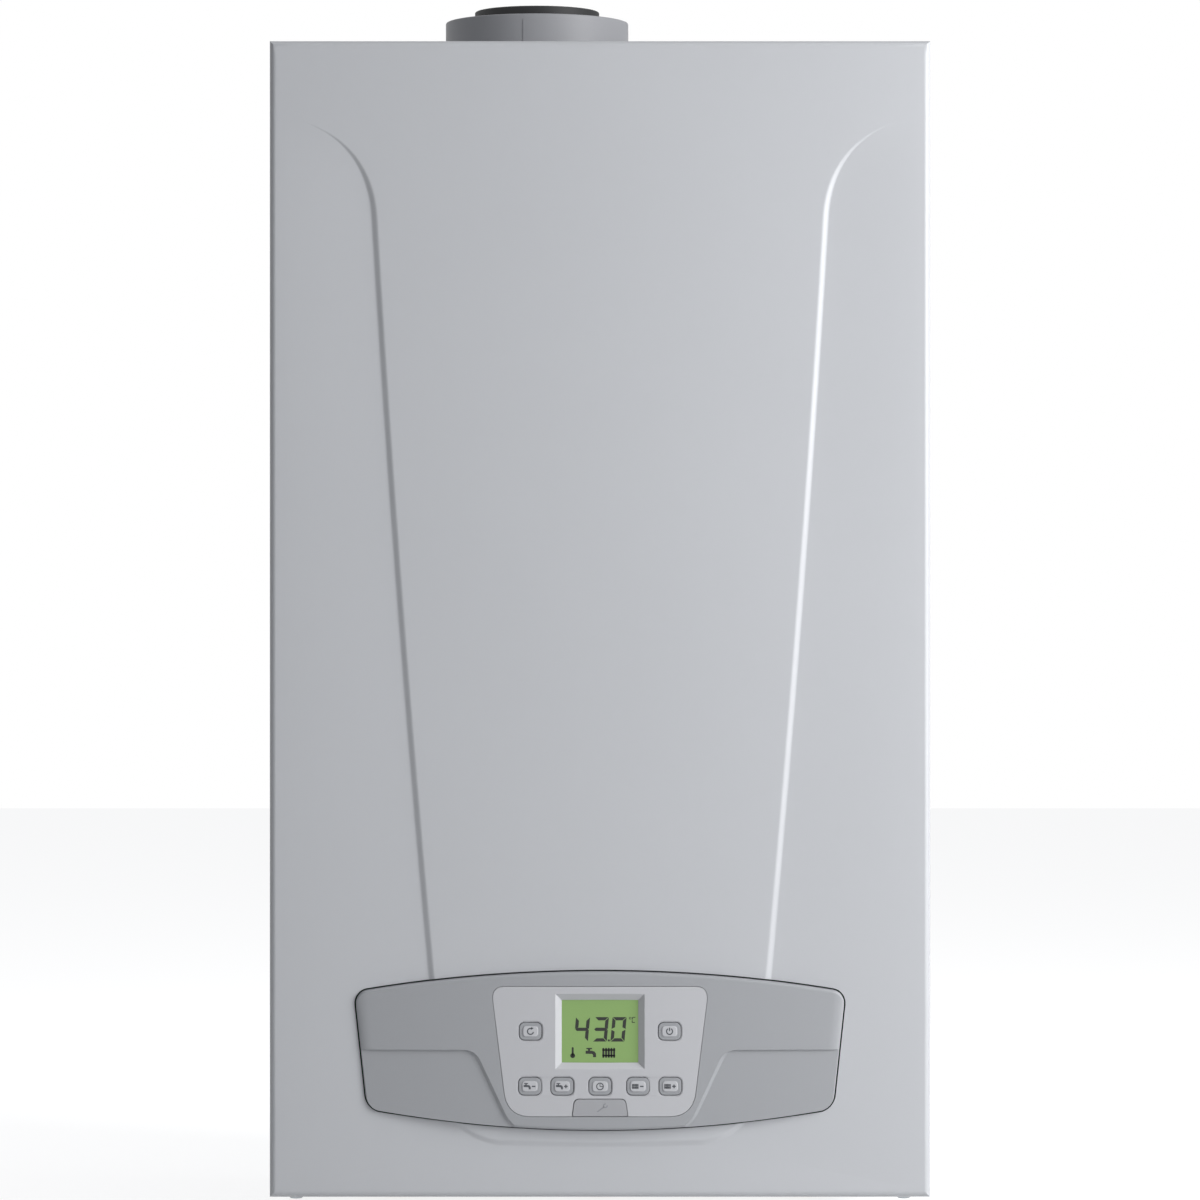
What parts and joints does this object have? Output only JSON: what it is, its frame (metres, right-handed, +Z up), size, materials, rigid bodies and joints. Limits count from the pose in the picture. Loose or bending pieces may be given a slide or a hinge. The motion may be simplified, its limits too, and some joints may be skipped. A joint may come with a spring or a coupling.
{
  "type": "wall hung combi boiler",
  "caption": "White wall-hung condensing combi boiler with pressed front casing, tilting control panel, coaxial flue collar and bottom pipe ends.",
  "frame": {"origin": "centre of the flat back face, in the plane of the wall", "axes": "+X right as seen from the front, +Y into the wall (the front faces -Y), +Z up"},
  "size_m": [0.4, 0.2992, 0.751],
  "materials": {
    "paint": "satin powder coat",
    "galvanised": "galvanised",
    "zinc": "zinc plated",
    "black_rubber": "matt",
    "fascia_grey": "fine moulded texture",
    "keypad_grey": "fine moulded texture",
    "button_grey": "smooth moulded",
    "lcd": "liquid crystal behind clear plastic",
    "board_green": "solder mask",
    "grey_composite": "glass filled moulding",
    "collar_grey": "moulded",
    "black_plastic": "moulded",
    "stainless": "stainless",
    "aluminium": "die cast",
    "copper": "drawn copper",
    "brass": "turned",
    "vessel_red": "gloss paint",
    "pump_black": "cathodic coat",
    "valve_red": "moulded",
    "tap_blue": "moulded",
    "dial_white": "dial",
    "trap_white": "moulded"
  },
  "bodies": {
    "chassis": {"left_side_panel": "paint", "right_side_panel": "paint", "top_panel": "paint", "back_panel": "galvanised", "bottom_tray": "galvanised", "support_frame": "galvanised", "hinge_pin_left": "zinc", "hinge_pin_right": "zinc", "casing_gasket": "black_rubber", "return_group": "grey_composite", "flow_group": "grey_composite", "condensate_hose": "grey_composite", "flue_collar": "collar_grey", "flue_socket": "black_plastic", "fan_motor": "black_plastic", "ignition_transformer": "black_plastic", "diverter_motor": "black_plastic", "flue_pipe": "stainless", "heat_exchanger": "stainless", "plate_heat_exchanger": "stainless", "burner_door": "aluminium", "fan_volute": "aluminium", "venturi": "aluminium", "gas_valve": "aluminium", "gas_feed_pipe": "copper", "gas_inlet_pipe": "copper", "return_pipe": "copper", "flow_pipe": "copper", "expansion_pipe": "copper", "heating_flow_nipple": "brass", "hot_water_nipple": "brass", "cold_water_nipple": "brass", "heating_return_nipple": "brass", "air_vent": "brass", "safety_valve": "brass", "expansion_vessel": "vessel_red", "pump_motor": "pump_black", "pressure_gauge": "dial_white", "condensate_trap": "trap_white"},
    "casing": {"front_casing": "paint", "casing_screw_left": "zinc", "casing_screw_right": "zinc"},
    "control": {"control_box": "grey_composite", "fascia": "fascia_grey", "keypad_plate": "keypad_grey", "display_module": "lcd", "circuit_board": "board_green", "cable_gland": "black_rubber"},
    "cap": {"service_cap": "fascia_grey"},
    "wheel": {"fan_wheel": "black_plastic"},
    "needle": {"gauge_needle": "black_plastic"},
    "filling_knob": {"filling_tap_knob": "tap_blue"},
    "safety_knob": {"safety_valve_knob": "valve_red"},
    "key_reset": {"button_reset": "button_grey"},
    "key_power": {"button_power": "button_grey"},
    "key_tap_minus": {"button_tap_minus": "button_grey"},
    "key_tap_plus": {"button_tap_plus": "button_grey"},
    "key_program": {"button_program": "button_grey"},
    "key_radiator_minus": {"button_radiator_minus": "button_grey"},
    "key_radiator_plus": {"button_radiator_plus": "button_grey"}
  },
  "joints": [
    {"name": "casing_slide", "type": "slide", "parent": "chassis", "child": "casing", "axis": [0, -1, 0], "range_m": [0, 0.6]},
    {"name": "control_box_tilt", "type": "hinge", "parent": "chassis", "child": "control", "pos_m": [0, -0.222, -0.33], "axis": [1, 0, 0], "range_deg": [0, 85]},
    {"name": "cap_pull", "type": "slide", "parent": "control", "child": "cap", "axis": [0, -1, 0], "range_m": [0, 0.012]},
    {"name": "fan_spin", "type": "hinge", "parent": "chassis", "child": "wheel", "pos_m": [0.078, -0.23, 0.268], "axis": [0, 1, 0], "continuous": true},
    {"name": "needle_turn", "type": "hinge", "parent": "chassis", "child": "needle", "pos_m": [0.06, -0.17, -0.35], "axis": [0, 0, 1], "range_deg": [0, 270]},
    {"name": "filling_turn", "type": "hinge", "parent": "chassis", "child": "filling_knob", "pos_m": [0.148, -0.122, -0.354], "axis": [0, 0, 1], "range_deg": [0, 270]},
    {"name": "safety_turn", "type": "hinge", "parent": "chassis", "child": "safety_knob", "pos_m": [0.176, -0.1, -0.203], "axis": [0, 0, 1], "range_deg": [0, 90]},
    {"name": "reset_press", "type": "slide", "parent": "control", "child": "key_reset", "axis": [0, 1, 0], "range_m": [0, 0.0012], "stiffness_N_per_m": 500, "springref_m": -0.001},
    {"name": "power_press", "type": "slide", "parent": "control", "child": "key_power", "axis": [0, 1, 0], "range_m": [0, 0.0012], "stiffness_N_per_m": 500, "springref_m": -0.001},
    {"name": "tap_minus_press", "type": "slide", "parent": "control", "child": "key_tap_minus", "axis": [0, 1, 0], "range_m": [0, 0.0012], "stiffness_N_per_m": 500, "springref_m": -0.001},
    {"name": "tap_plus_press", "type": "slide", "parent": "control", "child": "key_tap_plus", "axis": [0, 1, 0], "range_m": [0, 0.0012], "stiffness_N_per_m": 500, "springref_m": -0.001},
    {"name": "program_press", "type": "slide", "parent": "control", "child": "key_program", "axis": [0, 1, 0], "range_m": [0, 0.0012], "stiffness_N_per_m": 500, "springref_m": -0.001},
    {"name": "radiator_minus_press", "type": "slide", "parent": "control", "child": "key_radiator_minus", "axis": [0, 1, 0], "range_m": [0, 0.0012], "stiffness_N_per_m": 500, "springref_m": -0.001},
    {"name": "radiator_plus_press", "type": "slide", "parent": "control", "child": "key_radiator_plus", "axis": [0, 1, 0], "range_m": [0, 0.0012], "stiffness_N_per_m": 500, "springref_m": -0.001}
  ],
  "couplings": [
    {"joint": "control_box_tilt", "follows": "casing_slide", "rad_per_m": 2.47}
  ]
}
